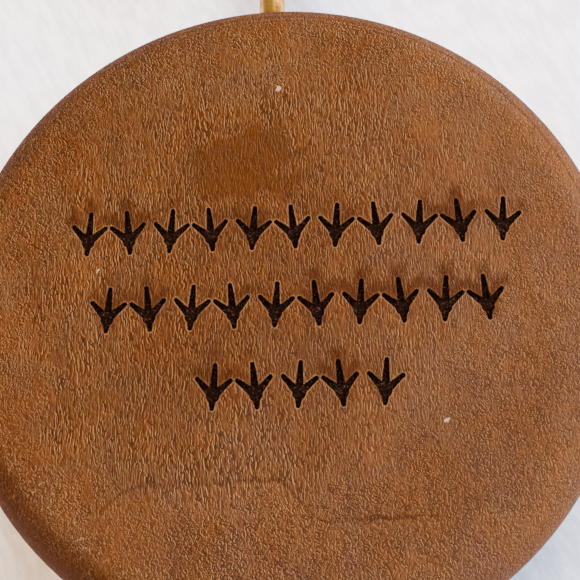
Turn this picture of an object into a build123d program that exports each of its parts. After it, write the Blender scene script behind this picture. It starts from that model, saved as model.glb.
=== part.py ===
from build123d import *

import os
from math import cos, radians, sin

# Round push-pin turkey call: a turned walnut pot that lies on its sound cover, engraved face up.
#
# Millimetres. The origin is the centre of the underside, +Z points up out of the engraved face,
# and the push rod runs along +Y, out of the rim and into its button. The rod carries a hickory
# striker peg. Pushing the button drags the peg over a slate plate, and a spring returns it.

# ---- Body -----------------------------------------------------------------------------------
body_diameter = 95.0
body_height = 28.0
face_round = 6.0  # quarter round between the engraved face and the wall
foot_round = 2.5
wall_thickness = 10.0
face_thickness = 5.0

# ---- Sound cover ----------------------------------------------------------------------------
cover_thickness = 3.2
cover_diameter = 86.8
cover_clearance = 0.1  # on the radius
cover_chamfer = 0.4
sound_hole_diameter = 8.0
sound_hole_count = 8
sound_hole_circle = 62.0
cover_screw_count = 4
cover_screw_circle = 80.6

# ---- Playing surface ------------------------------------------------------------------------
pedestal_outer = 40.0
pedestal_inner = 30.0
pedestal_height = 2.2
slate_diameter = 56.0
slate_thickness = 3.0
slate_chamfer = 0.5

# ---- Push rod and what guides it ------------------------------------------------------------
rod_diameter = 4.0
rod_height = 16.5  # of the rod's axis above the underside
rod_travel = 12.0
rod_chamfer = 0.4
running_clearance = 0.05  # on the radius
loose_clearance = 0.3  # on the radius
sleeve_diameter = 7.0
flange_diameter = 9.6
flange_thickness = 1.2
flange_seat = 38.0  # distance of the flat seat from the centre
sleeve_recess = 0.3
felt_diameter = 9.0
felt_thickness = 1.5
collar_diameter = 8.4
collar_length = 5.1
collar_chamfer = 0.3
stop_gap = 0.05

guide_width = 18.0
guide_length = 8.0
guide_drop = 11.5  # how far the rear block hangs below the chamber's ceiling
guide_front = -15.0
guide_chamfer = 0.8
guide_screw_spacing = 12.4
rear_sleeve_diameter = 6.0
rod_overhang = 1.0  # behind the rear block, at rest

# ---- Striker --------------------------------------------------------------------------------
carriage_width = 12.0
carriage_length = 14.0
carriage_height = 8.0
carriage_rear = 5.0
carriage_chamfer = 0.6
peg_diameter = 6.35
peg_inset = 5.5  # from the carriage's rear face to the peg's axis
peg_socket_top = 2.8  # above the rod's axis
peg_gap = 0.05
peg_tip_round = 1.2

# ---- Grub screws ----------------------------------------------------------------------------
grub_diameter = 3.0
grub_recess = 0.1
grub_inset = 2.5  # from the carriage's front face to the grub's axis
hex_across = 1.5
hex_depth = 1.2

# ---- Springs --------------------------------------------------------------------------------
washer_diameter = 7.6
washer_thickness = 0.8
spring_diameter = 6.4  # mean
spring_wire = 0.6
spring_coils = 8
spring_seat = 0.05  # gap to the washers
leaf_width = 8.0
leaf_thickness = 0.5
leaf_shoe_rear = 0.0
leaf_shoe_front = 12.0
leaf_bend = 24.0
leaf_root = 36.0
leaf_lip = 2.0
leaf_screw_places = (28.0, 33.0)

# ---- Button ---------------------------------------------------------------------------------
bumper_diameter = 9.0
bumper_thickness = 2.0
bumper_round = 0.5
bumper_gap = 0.5  # to the wall at full travel
button_length = 14.0
button_base = 5.2  # radii of the turned knob
button_waist = 4.4
button_head = 9.0
button_waist_place = 3.6  # along the knob, from its base
button_head_place = 9.6
button_base_chamfer = 0.5
button_grip = 8.5  # depth of the rod in the button

# ---- Wood screws ----------------------------------------------------------------------------
screw_shank = 2.2
screw_head = 4.2
screw_pan_face = 3.4
screw_head_height = 1.2
screw_slot_width = 0.5
screw_slot_depth = 0.5
screw_slot_turn = 35.0
screw_point = 1.6
screw_point_taper = 25.0
cover_screw_length = 10.0
guide_screw_length = 14.5
leaf_screw_length = 4.2

# ---- Burnt ornament: rows of bird tracks, cut into the face ----------------------------------
engraving_depth = 0.45
track_rows = ((11, 10.7), (10, -0.6), (5, -11.9))  # tracks in the row, height of its middle
track_pitch = 5.8
track_centre = 1.8
track_slant = -1.0  # degrees, of the rows against the rod's square
track_turn = 5.0  # degrees, left and right in turn
heel_drop = 1.3  # heel below the row's middle
heel_radius = 0.9
toe_root = 0.62  # radii of a toe's two ends
toe_tip = 0.3
toes = ((90.0, 4.3), (45.0, 3.2), (135.0, 3.2), (-90.0, 1.7))  # direction, length

# ---- Worked out -----------------------------------------------------------------------------
body_radius = body_diameter / 2
chamber_radius = body_radius - wall_thickness
cover_seat_radius = cover_diameter / 2 + cover_clearance
ceiling = body_height - face_thickness
rod_radius = rod_diameter / 2
running_bore = rod_diameter + 2 * running_clearance
loose_bore = rod_diameter + 2 * loose_clearance
slate_bottom = cover_thickness + pedestal_height
slate_top = slate_bottom + slate_thickness
guide_rear = guide_front - guide_length
guide_middle = (guide_front + guide_rear) / 2
guide_bottom = ceiling - guide_drop
carriage_front = carriage_rear + carriage_length
carriage_middle = (carriage_front + carriage_rear) / 2
carriage_bottom = rod_height - carriage_height / 2
carriage_top = rod_height + carriage_height / 2
grub_place = carriage_front - grub_inset
peg_place = carriage_rear + peg_inset
peg_bottom = slate_top + peg_gap
peg_top = rod_height + peg_socket_top
bushing_inner = flange_seat - flange_thickness
felt_rear = bushing_inner - felt_thickness
collar_front = felt_rear - stop_gap
collar_rear = collar_front - collar_length
collar_middle = (collar_front + collar_rear) / 2
bumper_rear = body_radius + bumper_gap + rod_travel
button_rear = bumper_rear + bumper_thickness
rod_rear = guide_rear - rod_overhang
rod_front = button_rear + button_grip
spring_rear = guide_front + washer_thickness
spring_front = carriage_rear - washer_thickness
coil_rear = spring_rear + spring_seat + spring_wire / 2
coil_length = spring_front - spring_seat - spring_wire / 2 - coil_rear
shoe_top = carriage_top + peg_gap + leaf_thickness
leaf_screw_face = ceiling - leaf_thickness - screw_head_height


def level(z):
    """The horizontal plane at height z."""
    return Plane.XY.offset(z)


def across(y):
    """The plane square to the rod at y, centred on the rod and facing the button."""
    return Plane(origin=(0, y, rod_height), x_dir=(1, 0, 0), z_dir=(0, 1, 0))


def sideways(x, y):
    """The plane square to +X at x, level with the rod at y."""
    return Plane(origin=(x, y, rod_height), x_dir=(0, 1, 0), z_dir=(1, 0, 0))


def ring_points(radius, count, start):
    """Evenly spaced points on a circle round the origin, the first at start degrees."""
    angles = [radians(start + 360 * k / count) for k in range(count)]
    return [(radius * cos(a), radius * sin(a)) for a in angles]


def ring_on_rod(rear, front, diameter, bore):
    """A plain ring round the rod's axis, from y = rear to y = front."""
    with BuildPart() as ring:
        with BuildSketch(across(rear)):
            Circle(diameter / 2)
            Circle(bore / 2, mode=Mode.SUBTRACT)
        extrude(amount=front - rear)
    return ring.part


def screw_blanks(points, head_face, length, face_diameter, seat_diameter):
    """Upright screws without slots: heads from z = head_face, seat_diameter wide at the seat."""
    seat = head_face + screw_head_height
    shank_end = head_face + length - screw_point
    with BuildPart() as blanks:
        for point in points:
            with BuildSketch(level(head_face)):
                with Locations(point):
                    Circle(face_diameter / 2)
            with BuildSketch(level(seat)):
                with Locations(point):
                    Circle(seat_diameter / 2)
            loft()
            with BuildSketch(level(seat)):
                with Locations(point):
                    Circle(screw_shank / 2)
            extrude(amount=shank_end - seat)
            with BuildSketch(level(shank_end)):
                with Locations(point):
                    Circle(screw_shank / 2)
            extrude(amount=screw_point, taper=screw_point_taper)
    return blanks.part


def slotted(blanks, points, head_face):
    """The same screws with a driver slot across each head, each turned its own way."""
    with BuildPart() as screws:
        add(blanks)
        for k, point in enumerate(points):
            with BuildSketch(level(head_face)):
                with Locations(point):
                    Rectangle(screw_head + 1, screw_slot_width, rotation=screw_slot_turn * (k + 1))
            extrude(amount=screw_slot_depth, mode=Mode.SUBTRACT)
    return screws.part


def grub_screw(tip, face, y):
    """A hex-socket grub screw along X at y, from x = tip to x = face."""
    with BuildPart() as grub:
        with BuildSketch(sideways(tip, y)):
            Circle(grub_diameter / 2)
        extrude(amount=face - tip)
        with BuildSketch(sideways(face - hex_depth, y)):
            RegularPolygon(hex_across / 2, 6, major_radius=False)
        extrude(amount=hex_depth, mode=Mode.SUBTRACT)
    return grub.part


def toe_outline(direction, length):
    """One toe of a track: a tapered stroke from the heel, with round ends."""
    with BuildSketch() as outline:
        Circle(toe_root)
        with Locations((length * cos(radians(direction)), length * sin(radians(direction)))):
            Circle(toe_tip)
        make_hull()
    return outline.sketch


def track_places():
    """Where each track's heel stands on the face, and the track's turn."""
    places = []
    slant = radians(track_slant)
    for count, height in track_rows:
        up = height - heel_drop
        for k in range(count):
            along = (k - (count - 1) / 2) * track_pitch
            x = track_centre + along * cos(slant) - up * sin(slant)
            y = up * cos(slant) + along * sin(slant)
            turn = track_turn if k % 2 else -track_turn
            places.append(Location((x, y, 0), (0, 0, track_slant + turn)))
    return places


cover_screw_points = ring_points(cover_screw_circle / 2, cover_screw_count, 45)
sound_hole_points = ring_points(sound_hole_circle / 2, sound_hole_count, 22.5)
guide_screw_points = [(side * guide_screw_spacing / 2, guide_middle) for side in (-1, 1)]
leaf_screw_points = [(0, y) for y in leaf_screw_places]

cover_screw_blanks = screw_blanks(cover_screw_points, 0, cover_screw_length, screw_head, screw_shank)
guide_screw_blanks = screw_blanks(
    guide_screw_points, guide_bottom, guide_screw_length, screw_head, screw_shank
)
leaf_screw_blanks = screw_blanks(
    leaf_screw_points, leaf_screw_face, leaf_screw_length, screw_pan_face, screw_head
)

toe_outlines = [toe_outline(direction, length) for direction, length in toes]
with BuildSketch() as track:
    Circle(heel_radius)
    for outline in toe_outlines:
        add(outline)

# ---- Call body: a turned pot, its chamber open below, with a rabbet for the cover ------------
with BuildPart() as call_body:
    with BuildSketch(Plane.XZ):
        with BuildLine():
            Polyline((0, ceiling), (0, body_height), (body_radius - face_round, body_height))
            RadiusArc(
                (body_radius - face_round, body_height),
                (body_radius, body_height - face_round),
                face_round,
            )
            Line((body_radius, body_height - face_round), (body_radius, foot_round))
            RadiusArc((body_radius, foot_round), (body_radius - foot_round, 0), foot_round)
            Polyline(
                (body_radius - foot_round, 0),
                (cover_seat_radius, 0),
                (cover_seat_radius, cover_thickness),
                (chamber_radius, cover_thickness),
                (chamber_radius, ceiling),
                (0, ceiling),
            )
        make_face()
    revolve(axis=Axis.Z)
    with BuildSketch(across(bushing_inner)):
        Circle(flange_diameter / 2)
    extrude(amount=flange_thickness, mode=Mode.SUBTRACT)
    with BuildSketch(across(flange_seat)):
        Circle(sleeve_diameter / 2)
    extrude(amount=wall_thickness, mode=Mode.SUBTRACT)
    add(cover_screw_blanks, mode=Mode.SUBTRACT)
    add(guide_screw_blanks, mode=Mode.SUBTRACT)
    add(leaf_screw_blanks, mode=Mode.SUBTRACT)
    with BuildSketch(level(body_height - engraving_depth)):
        with Locations(*track_places()):
            add(track.sketch)
    extrude(amount=engraving_depth, mode=Mode.SUBTRACT)

# ---- Sound cover: the disc under the chamber, with its ring of sound holes -------------------
with BuildPart() as sound_cover:
    with BuildSketch(level(0)):
        Circle(cover_diameter / 2)
    extrude(amount=cover_thickness)
    with BuildSketch(level(0)):
        with Locations(*sound_hole_points):
            Circle(sound_hole_diameter / 2)
    extrude(amount=cover_thickness, mode=Mode.SUBTRACT)
    chamfer(sound_cover.edges().filter_by(GeomType.CIRCLE).group_by(Axis.Z)[0], cover_chamfer)
    add(cover_screw_blanks, mode=Mode.SUBTRACT)

with BuildPart() as cover_screws:
    add(slotted(cover_screw_blanks, cover_screw_points, 0))

# ---- Playing surface: a slate plate on a turned pedestal ring --------------------------------
with BuildPart() as pedestal_ring:
    with BuildSketch(level(cover_thickness)):
        Circle(pedestal_outer / 2)
        Circle(pedestal_inner / 2, mode=Mode.SUBTRACT)
    extrude(amount=pedestal_height)

with BuildPart() as slate_plate:
    with BuildSketch(level(slate_bottom)):
        Circle(slate_diameter / 2)
    extrude(amount=slate_thickness)
    chamfer(slate_plate.edges().group_by(Axis.Z)[-1], slate_chamfer)

# ---- Front guide: a flanged brass bushing in the rim, and a felt washer on its flange ---------
with BuildPart() as front_bushing:
    with BuildSketch(across(bushing_inner)):
        Circle(flange_diameter / 2)
    extrude(amount=flange_thickness)
    with BuildSketch(across(flange_seat)):
        Circle(sleeve_diameter / 2)
    extrude(amount=body_radius - sleeve_recess - flange_seat)
    with BuildSketch(across(bushing_inner)):
        Circle(running_bore / 2)
    extrude(amount=wall_thickness + flange_thickness, mode=Mode.SUBTRACT)

with BuildPart() as felt_washer:
    add(ring_on_rod(felt_rear, bushing_inner, felt_diameter, loose_bore))

# ---- Rear guide: a maple block screwed to the ceiling, with a plain brass bushing -------------
with BuildPart() as rear_guide_block:
    with BuildSketch(level(guide_bottom)):
        with Locations((0, guide_middle)):
            Rectangle(guide_width, guide_length)
    extrude(amount=guide_drop)
    chamfer(rear_guide_block.edges().filter_by(Axis.Z), guide_chamfer)
    with BuildSketch(across(guide_rear)):
        Circle(rear_sleeve_diameter / 2)
    extrude(amount=guide_length, mode=Mode.SUBTRACT)
    add(guide_screw_blanks, mode=Mode.SUBTRACT)

with BuildPart() as rear_bushing:
    add(ring_on_rod(guide_rear, guide_front, rear_sleeve_diameter, running_bore))

with BuildPart() as guide_block_screws:
    add(slotted(guide_screw_blanks, guide_screw_points, guide_bottom))

# ---- Push rod -------------------------------------------------------------------------------
with BuildPart() as push_rod:
    with BuildSketch(across(rod_rear)):
        Circle(rod_radius)
    extrude(amount=rod_front - rod_rear)
    chamfer(push_rod.edges().filter_by(GeomType.CIRCLE), rod_chamfer)

# ---- Stop collar: meets the felt washer when the button is out -------------------------------
with BuildPart() as stop_collar:
    with BuildSketch(across(collar_rear)):
        Circle(collar_diameter / 2)
    extrude(amount=collar_length)
    chamfer(stop_collar.edges().filter_by(GeomType.CIRCLE), collar_chamfer)
    with BuildSketch(across(collar_rear)):
        Circle(rod_radius)
    extrude(amount=collar_length, mode=Mode.SUBTRACT)
    with BuildSketch(sideways(0, collar_middle)):
        Circle(grub_diameter / 2)
    extrude(amount=collar_diameter, mode=Mode.SUBTRACT)

with BuildPart() as collar_set_screw:
    add(grub_screw(rod_radius, collar_diameter / 2 - grub_recess, collar_middle))

# ---- Striker: a block on the rod, with a hickory peg that the rod runs through ----------------
with BuildPart() as striker_carriage:
    with BuildSketch(level(carriage_bottom)):
        with Locations((0, carriage_middle)):
            Rectangle(carriage_width, carriage_length)
    extrude(amount=carriage_height)
    chamfer(striker_carriage.edges(), carriage_chamfer)
    with BuildSketch(across(carriage_rear)):
        Circle(rod_radius)
    extrude(amount=carriage_length, mode=Mode.SUBTRACT)
    with BuildSketch(level(carriage_bottom)):
        with Locations((0, peg_place)):
            Circle(peg_diameter / 2)
    extrude(amount=peg_top - carriage_bottom, mode=Mode.SUBTRACT)
    with BuildSketch(sideways(0, grub_place)):
        Circle(grub_diameter / 2)
    extrude(amount=carriage_width, mode=Mode.SUBTRACT)

with BuildPart() as striker_peg:
    with BuildSketch(level(peg_bottom)):
        with Locations((0, peg_place)):
            Circle(peg_diameter / 2)
    extrude(amount=peg_top - peg_bottom)
    fillet(striker_peg.edges().group_by(Axis.Z)[0], peg_tip_round)
    with BuildSketch(across(carriage_rear)):
        Circle(rod_radius)
    extrude(amount=carriage_length, mode=Mode.SUBTRACT)

with BuildPart() as carriage_set_screw:
    add(grub_screw(rod_radius, carriage_width / 2 - grub_recess, grub_place))

# ---- Return spring, between the carriage's washer and the rear block's ------------------------
with BuildPart() as front_spring_washer:
    add(ring_on_rod(spring_front, carriage_rear, washer_diameter, rod_diameter))

with BuildPart() as rear_spring_washer:
    add(ring_on_rod(guide_front, spring_rear, washer_diameter, loose_bore))

with BuildPart() as return_spring:
    with BuildLine():
        coil = Helix(
            coil_length / spring_coils,
            coil_length,
            spring_diameter / 2,
            center=(0, coil_rear, rod_height),
            direction=(0, 1, 0),
        )
    with BuildSketch(Plane(origin=coil @ 0, z_dir=coil % 0)):
        Circle(spring_wire / 2)
    sweep(path=coil, is_frenet=True)

# ---- Leaf spring: keeps the peg down on the slate --------------------------------------------
leaf_top_line = [
    (leaf_root, ceiling),
    (leaf_bend, ceiling),
    (leaf_shoe_front, shoe_top),
    (leaf_shoe_rear, shoe_top),
    (leaf_shoe_rear - leaf_lip, shoe_top + leaf_lip / 2),
]
leaf_under_line = [(y, z - leaf_thickness) for y, z in reversed(leaf_top_line)]
with BuildPart() as leaf_spring:
    with BuildSketch(Plane.YZ.offset(-leaf_width / 2)):
        with BuildLine():
            Polyline(*leaf_top_line, *leaf_under_line, close=True)
        make_face()
    extrude(amount=leaf_width)
    add(leaf_screw_blanks, mode=Mode.SUBTRACT)

with BuildPart() as leaf_spring_screws:
    add(slotted(leaf_screw_blanks, leaf_screw_points, leaf_screw_face))

# ---- Push button: a turned knob on the rod's end, with a rubber bumper behind it ---------------
with BuildPart() as push_button:
    with BuildSketch(sideways(0, button_rear)):
        with BuildLine():
            Polyline(
                (0, 0),
                (0, button_base - button_base_chamfer),
                (button_base_chamfer, button_base),
            )
            Spline(
                (button_base_chamfer, button_base),
                (button_waist_place, button_waist),
                (button_head_place, button_head),
                tangents=((1, -0.3), (1, 0)),
            )
            EllipticalCenterArc(
                (button_head_place, 0),
                button_length - button_head_place,
                button_head,
                start_angle=0,
                arc_size=90,
            )
            Line((button_length, 0), (0, 0))
        make_face()
    revolve(axis=Axis((0, 0, rod_height), (0, 1, 0)))
    with BuildSketch(across(button_rear)):
        Circle(rod_radius)
    extrude(amount=button_grip, mode=Mode.SUBTRACT)

with BuildPart() as button_bumper:
    with BuildSketch(across(bumper_rear)):
        Circle(bumper_diameter / 2)
    extrude(amount=bumper_thickness)
    fillet(button_bumper.edges().filter_by(GeomType.CIRCLE), bumper_round)
    with BuildSketch(across(bumper_rear)):
        Circle(rod_radius)
    extrude(amount=bumper_thickness, mode=Mode.SUBTRACT)

# ---- One file for each piece -----------------------------------------------------------------
pieces = {
    "call_body": call_body,
    "sound_cover": sound_cover,
    "cover_screws": cover_screws,
    "pedestal_ring": pedestal_ring,
    "slate_plate": slate_plate,
    "front_bushing": front_bushing,
    "felt_washer": felt_washer,
    "rear_guide_block": rear_guide_block,
    "rear_bushing": rear_bushing,
    "guide_block_screws": guide_block_screws,
    "push_rod": push_rod,
    "stop_collar": stop_collar,
    "collar_set_screw": collar_set_screw,
    "striker_carriage": striker_carriage,
    "striker_peg": striker_peg,
    "carriage_set_screw": carriage_set_screw,
    "front_spring_washer": front_spring_washer,
    "rear_spring_washer": rear_spring_washer,
    "return_spring": return_spring,
    "leaf_spring": leaf_spring,
    "leaf_spring_screws": leaf_spring_screws,
    "push_button": push_button,
    "button_bumper": button_bumper,
}
os.makedirs("parts", exist_ok=True)
for name, piece in pieces.items():
    piece.part.label = name
    export_step(piece.part, f"parts/{name}.step")
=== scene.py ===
from math import cos, radians, sin, tau

import bpy
from mathutils import Matrix, Vector


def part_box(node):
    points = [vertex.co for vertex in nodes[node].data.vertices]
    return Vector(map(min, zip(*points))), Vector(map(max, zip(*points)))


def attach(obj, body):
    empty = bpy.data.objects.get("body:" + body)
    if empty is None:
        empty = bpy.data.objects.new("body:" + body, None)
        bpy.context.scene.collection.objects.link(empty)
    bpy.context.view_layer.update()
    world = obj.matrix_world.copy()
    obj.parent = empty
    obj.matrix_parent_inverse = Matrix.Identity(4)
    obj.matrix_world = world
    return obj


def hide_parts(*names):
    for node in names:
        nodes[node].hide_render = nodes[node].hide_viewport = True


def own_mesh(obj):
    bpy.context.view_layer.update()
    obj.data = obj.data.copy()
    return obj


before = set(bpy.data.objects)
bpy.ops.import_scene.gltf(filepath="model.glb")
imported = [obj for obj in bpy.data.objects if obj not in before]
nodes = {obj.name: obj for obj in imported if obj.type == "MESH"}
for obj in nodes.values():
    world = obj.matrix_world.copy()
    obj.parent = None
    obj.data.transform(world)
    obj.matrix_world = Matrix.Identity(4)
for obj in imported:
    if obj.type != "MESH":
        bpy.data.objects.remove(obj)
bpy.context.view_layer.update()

# A round push-pin turkey call, seen close and a little from the front, on a pale surface.
# Metres. +Z is up out of the engraved face, and the push rod runs along +Y. Materials are
# written in millimetres, on the object's own coordinates.

MM = 0.001

rod_low, rod_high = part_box("push_rod")
knob_low, knob_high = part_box("push_button")
peg_low, peg_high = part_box("striker_peg")
spring_low, spring_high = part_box("return_spring")
face_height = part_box("call_body")[1].z
slate_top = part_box("slate_plate")[1].z
rod_height = (rod_low.z + rod_high.z) / 2

# ---- Camera: just over three radii above the face, leaning back towards the near side ----------
camera_distance = 158 * MM  # from the middle of the face
camera_lean = radians(17.2)  # from the vertical
camera_roll = radians(8.4)
camera_lens = 71.4
camera_sensor = 36
camera_shift = (0.0121, 0.0172)
object_turn = radians(2.8)  # of the rod, against the picture's upright


def make_camera():
    """A view from above the near side, rolled, and shifted off the lens's own axis."""
    data = bpy.data.cameras.new("camera")
    data.lens = camera_lens
    data.sensor_width = camera_sensor
    data.shift_x, data.shift_y = camera_shift
    data.clip_start = 5 * MM
    data.dof.use_dof = False
    camera = bpy.data.objects.new("camera", data)
    bpy.context.scene.collection.objects.link(camera)
    heading = Matrix.Rotation(camera_roll - object_turn, 3, "Z")
    right = heading @ Vector((1, 0, 0))
    back = heading @ Vector((0, -sin(camera_lean), cos(camera_lean)))
    up = back.cross(right)
    rolled_right = cos(camera_roll) * right - sin(camera_roll) * up
    rolled_up = sin(camera_roll) * right + cos(camera_roll) * up
    axes = Matrix((rolled_right, rolled_up, back)).transposed()
    place = Vector((0, 0, face_height)) + camera_distance * back
    camera.matrix_world = Matrix.Translation(place) @ axes.to_4x4()
    bpy.context.scene.camera = camera


# ---- Node trees --------------------------------------------------------------------------------
class Graph:
    """A node tree, with one short method for each kind of node used here."""

    def __init__(self, tree):
        self.tree = tree

    def new(self, kind, inputs=(), **settings):
        """A node with its settings, and its inputs set to values or linked to sockets."""
        node = self.tree.nodes.new(kind)
        for key, value in settings.items():
            setattr(node, key, value)
        for key, value in dict(inputs).items():
            self.feed(node.inputs[key], value)
        return node

    def feed(self, socket, value):
        if isinstance(value, bpy.types.NodeSocket):
            self.tree.links.new(value, socket)
        else:
            socket.default_value = value

    def math(self, operation, a, b=0.0, c=0.0):
        return self.new("ShaderNodeMath", {0: a, 1: b, 2: c}, operation=operation).outputs[0]

    def add(self, a, b):
        return self.math("ADD", a, b)

    def subtract(self, a, b):
        return self.math("SUBTRACT", a, b)

    def times(self, a, b):
        return self.math("MULTIPLY", a, b)

    def vector(self, operation, a, b):
        return self.new("ShaderNodeVectorMath", {0: a, 1: b}, operation=operation).outputs[0]

    def scaled(self, vector, factors):
        return self.vector("MULTIPLY", vector, factors)

    def moved(self, vector, offset):
        return self.vector("ADD", vector, offset)

    def length(self, vector):
        return self.new("ShaderNodeVectorMath", {0: vector}, operation="LENGTH").outputs[1]

    def dot(self, a, b):
        return self.new("ShaderNodeVectorMath", {0: a, 1: b}, operation="DOT_PRODUCT").outputs[1]

    def parts(self, vector):
        node = self.new("ShaderNodeSeparateXYZ", {0: vector})
        return node.outputs["X"], node.outputs["Y"], node.outputs["Z"]

    def joined(self, x, y, z=0.0):
        return self.new("ShaderNodeCombineXYZ", {"X": x, "Y": y, "Z": z}).outputs[0]

    def turned(self, vector, angle):
        """vector turned about Z by an angle in radians, a number or a socket."""
        return self.new("ShaderNodeVectorRotate", {"Vector": vector, "Angle": angle}).outputs[0]

    def noise(self, vector, scale, detail=3.0, roughness=0.55, distortion=0.0):
        inputs = {"Vector": vector, "Scale": scale, "Detail": detail}
        inputs.update({"Roughness": roughness, "Distortion": distortion})
        return self.new("ShaderNodeTexNoise", inputs).outputs["Fac"]

    def cells(self, vector, scale):
        """Distance to the nearest scattered point, and a random number for that point."""
        node = self.new("ShaderNodeTexVoronoi", {"Vector": vector, "Scale": scale})
        return node.outputs["Distance"], self.parts(node.outputs["Color"])[0]

    def spread(self, value, low, high, to_low=0.0, to_high=1.0):
        """The range low to high of value, smoothly mapped to to_low to to_high and held there."""
        inputs = {0: value, 1: low, 2: high, 3: to_low, 4: to_high}
        return self.new("ShaderNodeMapRange", inputs, interpolation_type="SMOOTHSTEP").outputs[0]

    def mix(self, factor, a, b, blend="MIX"):
        """Colours a and b blended. Each is a socket or (red, green, blue)."""
        node = self.new("ShaderNodeMix", data_type="RGBA", blend_type=blend)
        self.feed(node.inputs[0], factor)
        for socket, tint in ((node.inputs[6], a), (node.inputs[7], b)):
            self.feed(socket, opaque(tint) if isinstance(tint, tuple) else tint)
        return node.outputs[2]

    def between(self, factor, a, b):
        """Numbers a and b blended."""
        return self.new("ShaderNodeMix", {0: factor, 2: a, 3: b}, data_type="FLOAT").outputs[0]

    def ramp(self, factor, *stops):
        """A colour ramp through (place, (red, green, blue)) stops."""
        node = self.new("ShaderNodeValToRGB", {0: factor})
        elements = node.color_ramp.elements
        for _ in stops[2:]:
            elements.new(0.5)
        for element, (place, tint) in zip(elements, stops):
            element.position = place
            element.color = opaque(tint)
        return node.outputs[0]

    def bump(self, height, depth, normal=None):
        """Bump by a height of 0 to 1, where 1 stands depth millimetres proud."""
        inputs = {"Height": height, "Distance": depth * MM}
        if normal is not None:
            inputs["Normal"] = normal
        return self.new("ShaderNodeBump", inputs).outputs[0]


class Shader(Graph):
    """A material. point is the surface's place in millimetres, in the object's own frame."""

    def __init__(self, name):
        self.material = bpy.data.materials.new(name)
        self.material.use_nodes = True
        super().__init__(self.material.node_tree)
        place = self.new("ShaderNodeTexCoord").outputs["Object"]
        self.point = self.scaled(place, (1 / MM, 1 / MM, 1 / MM))

    def finish(self, tint, roughness, normal=None, **fixed):
        """Feeds the surface. fixed holds its other settings, by its sockets' names."""
        surface = self.tree.nodes["Principled BSDF"]
        self.feed(surface.inputs["Base Color"], tint)
        self.feed(surface.inputs["Roughness"], roughness)
        if normal is not None:
            self.feed(surface.inputs["Normal"], normal)
        for name, value in fixed.items():
            surface.inputs[name.replace("_", " ")].default_value = value
        return self.material


def opaque(tint):
    return (*tint, 1.0)


def shade(tint, factor):
    """tint, lighter or darker by a factor."""
    return tuple(factor * channel for channel in tint)


# ---- Burnt ornament: the rows of bird tracks that are cut into the face -------------------------
track_row_step = 11.3
track_row_middle = -0.6  # height of the middle row's middle
track_pitch = 5.8
track_centre = 1.8
track_slant = radians(-1)
track_turn = radians(5)
heel_drop = 1.3
heel_radius = 0.9
toe_root = 0.62
toe_tip = 0.3
toes = ((90, 4.3), (45, 3.2), (135, 3.2), (-90, 1.7))  # direction, length


def make_track_group():
    """Node group: how far a point of the face is from the nearest track's outline, in mm.

    The far row has 11 tracks, the middle one 10 and the near one 5, and they turn a little to the
    left and right in turn.
    """
    group = bpy.data.node_groups.new("track_distance", "ShaderNodeTree")
    group.interface.new_socket("Point", in_out="INPUT", socket_type="NodeSocketVector")
    group.interface.new_socket("Distance", in_out="OUTPUT", socket_type="NodeSocketFloat")
    graph = Graph(group)
    point = graph.new("NodeGroupInput").outputs[0]
    along, up, _ = graph.parts(graph.turned(graph.moved(point, (-track_centre, 0, 0)), -track_slant))

    row = graph.times(graph.subtract(up, track_row_middle), 1 / track_row_step)
    row = graph.math("MINIMUM", graph.math("MAXIMUM", graph.math("ROUND", row), -1.0), 1.0)
    heel_line = graph.math("MULTIPLY_ADD", row, track_row_step, track_row_middle - heel_drop)
    up = graph.subtract(up, heel_line)
    in_middle = graph.math("COMPARE", row, 0.0, 0.5)
    in_near = graph.math("COMPARE", row, -1.0, 0.5)

    along = graph.subtract(along, graph.times(in_middle, track_pitch / 2))
    place = graph.math("ROUND", graph.times(along, 1 / track_pitch))
    last = graph.subtract(graph.math("MULTIPLY_ADD", in_near, -3.0, 5.0), in_middle)
    first = graph.math("MULTIPLY_ADD", in_near, 3.0, -5.0)
    place = graph.math("MINIMUM", graph.math("MAXIMUM", place, first), last)
    along = graph.subtract(along, graph.times(place, track_pitch))
    parity = graph.subtract(graph.math("FLOORED_MODULO", place, 2.0), in_near)
    turn = graph.math("MULTIPLY_ADD", graph.math("ABSOLUTE", parity), 2 * track_turn, -track_turn)
    local = graph.turned(graph.joined(along, up), turn)

    nearest = graph.subtract(graph.length(local), heel_radius)
    for direction, length in toes:
        tip = (length * cos(radians(direction)), length * sin(radians(direction)), 0)
        share = graph.times(graph.dot(local, tip), 1 / length**2)
        share = graph.math("MINIMUM", graph.math("MAXIMUM", share, 0.0), 1.0)
        off_line = graph.vector("SUBTRACT", local, graph.scaled(graph.joined(share, share), tip))
        width = graph.math("MULTIPLY_ADD", share, toe_tip - toe_root, toe_root)
        nearest = graph.math("MINIMUM", nearest, graph.subtract(graph.length(off_line), width))
    graph.feed(graph.new("NodeGroupOutput").inputs[0], nearest)
    return group


# ---- Wood --------------------------------------------------------------------------------------
def along_y(shader, seed):
    """The surface's place with the grain running along Y, wandering a little as grain does."""
    point = shader.moved(shader.point, seed)
    wander = shader.noise(shader.scaled(point, (1.0, 0.35, 1.0)), 0.10, detail=2)
    ripple = shader.noise(shader.scaled(point, (1.0, 0.6, 1.0)), 0.8, detail=2)
    x, y, z = shader.parts(point)
    x = shader.add(x, shader.math("MULTIPLY_ADD", wander, 3.0, -1.5))
    x = shader.add(x, shader.math("MULTIPLY_ADD", ripple, 0.3, -0.15))
    return shader.joined(x, y, z)


def pore_walls(shader, point, stretch, size, distortion=0.0):
    """1 over most of the surface, down to 0 along thin winding lines about size mm apart."""
    field = shader.noise(shader.scaled(point, stretch), 1 / size, detail=1, distortion=distortion)
    return shader.spread(shader.math("ABSOLUTE", shader.add(field, -0.5)), 0.0, 0.10)


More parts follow.
